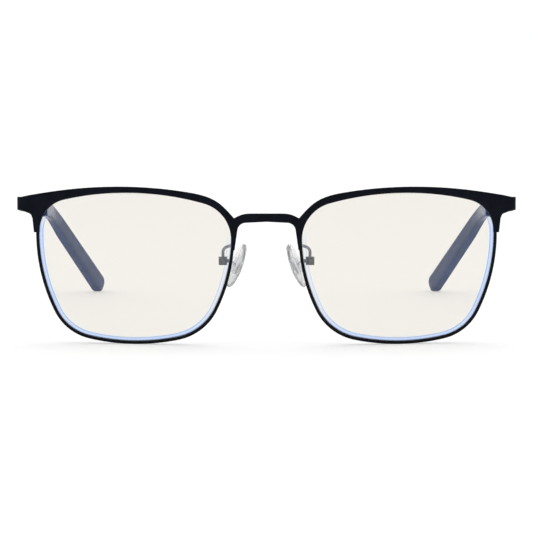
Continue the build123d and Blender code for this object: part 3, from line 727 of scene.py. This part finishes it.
def bare_metal(name, dark, light, roughness):
    """Plated screw and box metal: fine brushing along one way and small tarnish."""
    material, nodes, principled, link = shader(name)
    tarnish = noise_on(nodes, link, 1400.0, 4.0)
    link(drift_between(nodes, link, tarnish, dark, light), principled.inputs["Base Color"])
    brushed = noise_on(nodes, link, 7000.0, 2.0, (1, 0.12, 1))
    link(spread(nodes, link, brushed, roughness - 0.07, roughness + 0.08),
         principled.inputs["Roughness"])
    link(bump_from(nodes, link, brushed, 0.3, 3e-6), principled.inputs["Normal"])
    principled.inputs["Metallic"].default_value = 1.0
    return material


def clear_shader(nodes, link, principled, tint):
    """Glass that lets lamps through: shadow rays meet a plain transparent surface instead."""
    through = nodes.new("ShaderNodeBsdfTransparent")
    through.inputs["Color"].default_value = (*tint, 1)
    paths = nodes.new("ShaderNodeLightPath")
    mix = nodes.new("ShaderNodeMixShader")
    link(paths.outputs["Is Shadow Ray"], mix.inputs["Fac"])
    link(principled.outputs["BSDF"], mix.inputs[1])
    link(through.outputs["BSDF"], mix.inputs[2])
    link(mix.outputs["Shader"], nodes["Material Output"].inputs["Surface"])


def lens_material(settings):
    """Clear lens with a faint warm cast. Beside the rim its base colour holds a painted reflection
    of the ground edge: a pale blue band between two grey lines, strongest at the outer side and the
    bottom; the edge attribute holds how far out a point is and how strong the painted reflection is
    there."""
    material, nodes, principled, link = shader("filter_lens")
    edge = nodes.new("ShaderNodeAttribute")
    edge.attribute_name = "edge"
    parts = nodes.new("ShaderNodeSeparateXYZ")
    link(edge.outputs["Vector"], parts.inputs["Vector"])
    warm, blue = settings.lens_colour, settings.lens_edge_reflection_colour
    # Grey lines of the painted reflection: a darker copy of its blue.
    line = tuple(0.45 * c for c in blue)
    # Painted reflection of the ground edge across the outer rings: a pale line, grey lines and the
    # blue band.
    band = ramp_of(nodes, link, parts.outputs["X"],
                   [(0.946, warm), (0.952, (0.9, 0.97, 1.0)), (0.960, line), (0.968, blue),
                    (0.988, blue), (0.997, line)])
    # The painted reflection goes over the warm lens colour as strong as the edge attribute's second
    # value.
    body, painted_reflection = blend(nodes, link, parts.outputs["Y"], principled.inputs["Base Color"])
    body.default_value = (*warm, 1)
    link(band, painted_reflection)
    smear = noise_on(nodes, link, 320.0)
    link(spread(nodes, link, smear, 0.0, 0.012), principled.inputs["Roughness"])
    principled.inputs["IOR"].default_value = 1.5
    principled.inputs["Specular IOR Level"].default_value = 0.1
    principled.inputs["Transmission Weight"].default_value = 1.0
    clear_shader(nodes, link, principled, (0.96, 0.95, 0.93))
    return material


def tip_material(settings):
    """Translucent blue tip: deep colour with cloudy drift, a painted highlight along its upper face,
    where light comes in, and a greyer stripe low in the middle, where the metal core shows."""
    material, nodes, principled, link = shader("blue_tip")
    place = nodes.new("ShaderNodeUVMap")
    place.uv_map = "UVMap"
    parts = nodes.new("ShaderNodeSeparateXYZ")
    link(place.outputs["UV"], parts.inputs["Vector"])
    height = nodes.new("ShaderNodeMapRange")
    height.inputs["From Min"].default_value = -3.0
    height.inputs["From Max"].default_value = 3.0
    link(parts.outputs["Y"], height.inputs["Value"])
    cloud = noise_on(nodes, link, 300.0, 4.0)
    deep = tuple(settings.tip_colour)
    mid = tuple(c * 1.7 for c in deep)
    body = drift_between(nodes, link, cloud, deep, mid)
    # Pale grey over the blue: a stripe low in the middle where the metal core shows, and a painted
    # highlight along the upper face.
    pale = ramp_of(nodes, link, height.outputs["Result"],
                   [(0.32, (0, 0, 0)), (0.36, (0.16, 0.16, 0.16)), (0.62, (0.16, 0.16, 0.16)),
                    (0.66, (0, 0, 0)), (0.76, (0, 0, 0)), (0.84, (0.7, 0.7, 0.7))])
    under, over = blend(nodes, link, pale, principled.inputs["Base Color"])
    link(body, under)
    # Grey of the core stripe and of the painted highlight on the upper face.
    over.default_value = (0.17, 0.21, 0.30, 1)
    link(spread(nodes, link, cloud, 0.16, 0.26), principled.inputs["Roughness"])
    wave = noise_on(nodes, link, 900.0, 2.0)
    link(bump_from(nodes, link, wave, 0.12, 2e-5), principled.inputs["Normal"])
    principled.inputs["IOR"].default_value = 1.5
    principled.inputs["Specular IOR Level"].default_value = 0.09
    return material


def silicone_material():
    """Clear soft silicone: a milky body with fine matt texture."""
    material, nodes, principled, link = shader("clear_silicone")
    cloud = noise_on(nodes, link, 500.0)
    link(drift_between(nodes, link, cloud, (0.93, 0.935, 0.935), (0.97, 0.975, 0.975)),
         principled.inputs["Base Color"])
    link(spread(nodes, link, cloud, 0.12, 0.24), principled.inputs["Roughness"])
    matt = noise_on(nodes, link, 5200.0, 2.0)
    link(bump_from(nodes, link, matt, 0.15, 6e-6), principled.inputs["Normal"])
    principled.inputs["IOR"].default_value = 1.41
    principled.inputs["Transmission Weight"].default_value = 0.85
    clear_shader(nodes, link, principled, (0.93, 0.93, 0.93))
    return material


def nylon_material():
    """Washer nylon: ivory with a faint mould texture."""
    material, nodes, principled, link = shader("washer_nylon")
    cloud = noise_on(nodes, link, 2600.0)
    link(drift_between(nodes, link, cloud, (0.62, 0.60, 0.55), (0.72, 0.70, 0.66)),
         principled.inputs["Base Color"])
    link(spread(nodes, link, cloud, 0.35, 0.5), principled.inputs["Roughness"])
    return material


def made_once(make, name, *values):
    """The named material, made the first time it is asked for."""
    return bpy.data.materials.get(name) or make(name, *values)


def brow_metal(settings):
    """Satin navy coat of the brow sheet, the arms and the hinges."""
    light = tuple(c * 1.6 for c in settings.brow_colour)
    return made_once(painted_metal, "brow_coat", settings.brow_colour, light, 0.42)


def rim_metal(settings):
    """Glossier and darker coat of the eye wires and their locks."""
    light = tuple(c * 1.8 for c in settings.rim_colour)
    return made_once(painted_metal, "rim_coat", settings.rim_colour, light, 0.26, 0.1)


def screw_metal():
    """Grey plating of the screws, the pad wires and the pad boxes."""
    return made_once(bare_metal, "plated_metal", (0.30, 0.32, 0.40), (0.50, 0.52, 0.61), 0.26)


def insert_metal():
    """Bright metal of the inserts inside the pads."""
    return made_once(bare_metal, "bright_metal", (0.80, 0.81, 0.84), (0.90, 0.91, 0.93), 0.16)


# ---------------------------------------------------------------- placing
def finish_piece(piece, material, body, slot, *nodes):
    """Give a piece its material, the body it moves with and what it stands for; the slot argument is
    not used.
    """
    piece.data.materials.append(material)
    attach(piece, body)
    if nodes:
        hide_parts(*nodes)
    return piece


def carry_over(name, material):
    """Give a CAD node that stays a better material in each of its slots."""
    for entry in frame["nodes"][name].material_slots:
        entry.material = material


def bevelled(piece, width, segments=2):
    """Round the edges that turn by more than thirty degrees."""
    bevel = piece.modifiers.new("edges", "BEVEL")
    bevel.width = width
    bevel.segments = segments
    bevel.limit_method = "ANGLE"
    bevel.angle_limit = math.radians(30)
    return piece


def softened(node, name, width):
    """A piece with a CAD node's shape and rounded edges: its copy is welded, its flat faces
    are made whole, and a bevel rounds what turns sharply."""
    mesh = frame["nodes"][node].data.copy()
    mesh.name = name
    mesh.materials.clear()
    work = bmesh.new()
    work.from_mesh(mesh)
    bmesh.ops.remove_doubles(work, verts=work.verts, dist=1e-6)
    bmesh.ops.dissolve_limit(work, angle_limit=math.radians(1), verts=work.verts,
                             edges=work.edges)
    return bevelled(piece_from(mesh, work, 35.0), width * MM, 3)


# ---------------------------------------------------------------- stage
def floor_sheet():
    """A level floor: a square grid at height zero, in metres."""
    steps = np.linspace(-6, 6, 25)
    across, back = np.meshgrid(steps, steps)
    return np.stack([across, back, 0 * across], axis=-1), grid_faces(len(steps), len(steps))


def floor_material():
    """Matt white paper with a barely visible tooth."""
    material, nodes, principled, link = shader("white_paper")
    tooth = noise_on(nodes, link, 900.0)
    link(drift_between(nodes, link, tooth, (0.79, 0.79, 0.79), (0.81, 0.81, 0.81)),
         principled.inputs["Base Color"])
    principled.inputs["Roughness"].default_value = 0.8
    principled.inputs["Emission Color"].default_value = (1, 1, 1, 1)
    principled.inputs["Emission Strength"].default_value = 0.46
    principled.inputs["Specular IOR Level"].default_value = 0.2
    return material


def lamp(name, place, aim, width, power):
    """A square soft lamp at a place, turned to face a point."""
    data = bpy.data.lights.new(name, "AREA")
    data.shape = "SQUARE"
    data.size = width
    data.energy = power
    light = bpy.data.objects.new(name, data)
    light.location = place
    light.rotation_euler = (Vector(aim) - Vector(place)).to_track_quat("-Z", "Y").to_euler()
    bpy.context.scene.collection.objects.link(light)


def studio_world():
    """White surround as seen; as a light it fades towards the front, below the lamps."""
    world = bpy.data.worlds.new("studio")
    bpy.context.scene.world = world
    world.use_nodes = True
    nodes, link = world.node_tree.nodes, world.node_tree.links.new
    seen = nodes["Background"]
    seen.inputs["Color"].default_value = (1, 1, 1, 1)
    seen.inputs["Strength"].default_value = 1.1
    lit = nodes.new("ShaderNodeBackground")
    way = nodes.new("ShaderNodeTexCoord")
    parts = nodes.new("ShaderNodeSeparateXYZ")
    fade = nodes.new("ShaderNodeMapRange")
    fade.inputs["From Min"].default_value = -0.75
    fade.inputs["From Max"].default_value = 0.1
    fade.inputs["To Min"].default_value = 0.12
    fade.inputs["To Max"].default_value = 1.15
    link(way.outputs["Generated"], parts.inputs["Vector"])
    link(parts.outputs["Y"], fade.inputs["Value"])
    link(fade.outputs["Result"], lit.inputs["Strength"])
    paths, mix = nodes.new("ShaderNodeLightPath"), nodes.new("ShaderNodeMixShader")
    link(paths.outputs["Is Camera Ray"], mix.inputs["Fac"])
    link(lit.outputs["Background"], mix.inputs[1])
    link(seen.outputs["Background"], mix.inputs[2])
    link(mix.outputs["Shader"], nodes["World Output"].inputs["Surface"])


def soft_lamps(power):
    """One broad lamp above and one from each side, raised clear of the front."""
    lamp("top_lamp", (0.0, 0.1, 0.9), (0, 0, 0.02), 0.9, power * 2)
    lamp("left_lamp", (-0.8, -0.1, 0.45), (0, 0, 0.02), 0.5, power)
    lamp("right_lamp", (0.8, -0.1, 0.45), (0, 0, 0.02), 0.5, power)


CAMERA_DISTANCE, CAMERA_LENS = 800.0, 193.2


def front_camera():
    """A long lens that looks along the temples' own line, straight at the front."""
    data = bpy.data.cameras.new("front_camera")
    data.sensor_width = 36.0
    data.lens = CAMERA_LENS
    data.clip_start = 0.01
    camera = bpy.data.objects.new("front_camera", data)
    place = Vector(row_point(0.0, -CAMERA_DISTANCE, 0.0))
    ahead = Vector(row_point(0.0, 0.0, 0.0)) - place
    camera.location = place
    camera.rotation_euler = ahead.to_track_quat("-Z", "Y").to_euler()
    bpy.context.scene.collection.objects.link(camera)
    bpy.context.scene.camera = camera


# ---------------------------------------------------------------- settings
class GlassesFinish(bpy.types.PropertyGroup):
    """Colours of the coats, the tips and the lenses."""
    brow_colour: FloatVectorProperty(
        name="Brow", description="Satin coat of the brow sheet and temples",
        subtype="COLOR", default=(0.0050, 0.0060, 0.0115))
    rim_colour: FloatVectorProperty(
        name="Rim", description="Glossy coat of the eye wires",
        subtype="COLOR", default=(0.0010, 0.0015, 0.0032))
    tip_colour: FloatVectorProperty(
        name="Tip", description="Blue of the temple tips",
        subtype="COLOR", default=(0.0070, 0.0310, 0.1150))
    lens_colour: FloatVectorProperty(
        name="Lens", description="Faint warm cast of the lenses",
        subtype="COLOR", default=(0.845, 0.822, 0.770))
    # Blue of the painted reflection of the lens's ground edge.
    lens_edge_reflection_colour: FloatVectorProperty(
        name="Lens edge", description="Blue sheen where the ground edge shows",
        subtype="COLOR", default=(0.56, 0.70, 1.0))


class GlassesSizes(bpy.types.PropertyGroup):
    """Rounding of the brow sheet in metres, and the lamps' power."""
    sheet_edge: FloatProperty(
        name="Sheet edge", description="Rounding along the cut edges of the brow sheet",
        subtype="DISTANCE", unit="LENGTH", default=0.00012)
    lamp_strength: FloatProperty(
        name="Lamp", description="Power of the studio lamps", subtype="POWER", default=0.25)


def settings():
    """The colours chosen in the panel."""
    return bpy.context.scene.glasses_finish


# ---------------------------------------------------------------- operators
class GLASSES_OT_brow(bpy.types.Operator):
    """Make the brow sheet with its bridge bar and end pieces"""
    bl_idname = "glasses.brow"
    bl_label = "Brow sheet"

    def execute(self, context):
        piece = build_mesh("brow_sheet", *brow_piece())
        wall = piece.modifiers.new("sheet", "SOLIDIFY")
        wall.thickness = SHEET * MM
        wall.offset = -1.0
        wall.use_even_offset = True
        bevelled(piece, context.scene.glasses_sizes.sheet_edge)
        finish_piece(piece, brow_metal(settings()), "front", "brow_metal", "brow_bridge")
        return {"FINISHED"}


class GLASSES_OT_rims(bpy.types.Operator):
    """Make both eye wires, and finish the lock blocks and screws that close them"""
    bl_idname = "glasses.rims"
    bl_label = "Rims and locks"

    def execute(self, context):
        for label, side in SIDES.items():
            piece = build_mesh(f"eye_wire_{label}", *rim_piece(side))
            finish_piece(piece, rim_metal(settings()), "front", "rim_metal", f"rim_{label}")
            for block in ("upper", "lower"):
                node = f"rim_lock_{block}_{label}"
                lock = softened(node, f"lock_block_{block}_{label}", 0.12)
                finish_piece(lock, rim_metal(settings()), "front", "rim_metal", node)
            carry_over(f"rim_screw_{label}", screw_metal())
        return {"FINISHED"}


class GLASSES_OT_lenses(bpy.types.Operator):
    """Make both clear lenses with their ground edges"""
    bl_idname = "glasses.lenses"
    bl_label = "Lenses"

    def execute(self, context):
        material = lens_material(settings())
        for label, side in SIDES.items():
            piece = build_mesh(f"filter_lens_{label}", *lens_piece(side))
            finish_piece(piece, material, "front", "lens", f"lens_{label}")
        return {"FINISHED"}


class GLASSES_OT_temples(bpy.types.Operator):
    """Make the metal arms and their blue tips"""
    bl_idname = "glasses.temples"
    bl_label = "Temples and tips"

    def execute(self, context):
        material = tip_material(settings())
        for label, side in SIDES.items():
            arm = build_mesh(f"temple_arm_{label}", *temple_strip(side))
            finish_piece(arm, brow_metal(settings()), f"temple_{label}", "temple_metal",
                         f"temple_{label}")
            points, faces, uv = temple_tip(side)
            tip = build_mesh(f"blue_tip_{label}", points, faces, uv=uv)
            finish_piece(tip, material, f"temple_{label}", "tip_acetate", f"temple_tip_{label}")
        return {"FINISHED"}


class GLASSES_OT_pads(bpy.types.Operator):
    """Make the nose pads and their wire arms, and finish the boxes that hold them"""
    bl_idname = "glasses.pads"
    bl_label = "Nose pads"

    def execute(self, context):
        material = silicone_material()
        for label, side in SIDES.items():
            pad = build_mesh(f"soft_pad_{label}", *nose_pad(side), smooth=80.0)
            finish_piece(pad, material, f"pad_{label}", "clear_silicone", f"nose_pad_{label}")
            wire = build_mesh(f"pad_wire_{label}", *pad_wire(side))
            finish_piece(wire, screw_metal(), "front", "silver_metal", f"pad_arm_{label}")
            cup = softened(f"pad_box_{label}", f"pad_cup_{label}", 0.16)
            finish_piece(cup, screw_metal(), "front", "silver_metal", f"pad_box_{label}")
            carry_over(f"pad_screw_{label}", screw_metal())
            carry_over(f"pad_insert_{label}", insert_metal())
        return {"FINISHED"}


class GLASSES_OT_hinges(bpy.types.Operator):
    """Finish the hinge knuckles, screws and washers"""
    bl_idname = "glasses.hinges"
    bl_label = "Hinges"

    def execute(self, context):
        nylon = nylon_material()
        for label in SIDES:
            for end, body in (("front", "front"), ("temple", f"temple_{label}")):
                node = f"{end}_hinge_{label}"
                barrel = softened(node, f"{end}_barrel_{label}", 0.08)
                finish_piece(barrel, brow_metal(settings()), body, "hinge_metal", node)
            carry_over(f"hinge_screw_{label}", screw_metal())
            carry_over(f"washer_upper_{label}", nylon)
            carry_over(f"washer_lower_{label}", nylon)
        return {"FINISHED"}


class GLASSES_OT_stage(bpy.types.Operator):
    """Make the pale floor, the soft lamps and the camera"""
    bl_idname = "glasses.stage"
    bl_label = "Stage"

    def execute(self, context):
        floor = build_mesh("floor", *floor_sheet())
        floor.data.materials.append(floor_material())
        studio_world()
        soft_lamps(context.scene.glasses_sizes.lamp_strength)
        context.scene.view_settings.view_transform = "Standard"
        front_camera()
        return {"FINISHED"}


STEPS = ("brow", "rims", "lenses", "temples", "pads", "hinges", "stage")
OPERATORS = (GLASSES_OT_brow, GLASSES_OT_rims, GLASSES_OT_lenses, GLASSES_OT_temples,
             GLASSES_OT_pads, GLASSES_OT_hinges, GLASSES_OT_stage)


class GLASSES_PT_panel(bpy.types.Panel):
    """Sidebar panel that lists the steps and the finish"""
    bl_label = "Glasses"
    bl_idname = "GLASSES_PT_panel"
    bl_space_type = "VIEW_3D"
    bl_region_type = "UI"
    bl_category = "Glasses"

    def draw(self, context):
        for name in ("glasses_finish", "glasses_sizes"):
            group = getattr(context.scene, name)
            for field in group.__annotations__:
                self.layout.prop(group, field)
        for operator in OPERATORS:
            self.layout.operator(operator.bl_idname)


CLASSES = (GlassesFinish, GlassesSizes, *OPERATORS, GLASSES_PT_panel)


def register():
    """Add the settings, the operators and the panel."""
    for item in CLASSES:
        bpy.utils.register_class(item)
    bpy.types.Scene.glasses_finish = PointerProperty(type=GlassesFinish)
    bpy.types.Scene.glasses_sizes = PointerProperty(type=GlassesSizes)


def unregister():
    """Take them away again."""
    del bpy.types.Scene.glasses_finish
    del bpy.types.Scene.glasses_sizes
    for item in reversed(CLASSES):
        bpy.utils.unregister_class(item)


def main():
    """Run every step."""
    register()
    for step in STEPS:
        getattr(bpy.ops.glasses, step)()


if __name__ == "__main__":
    main()
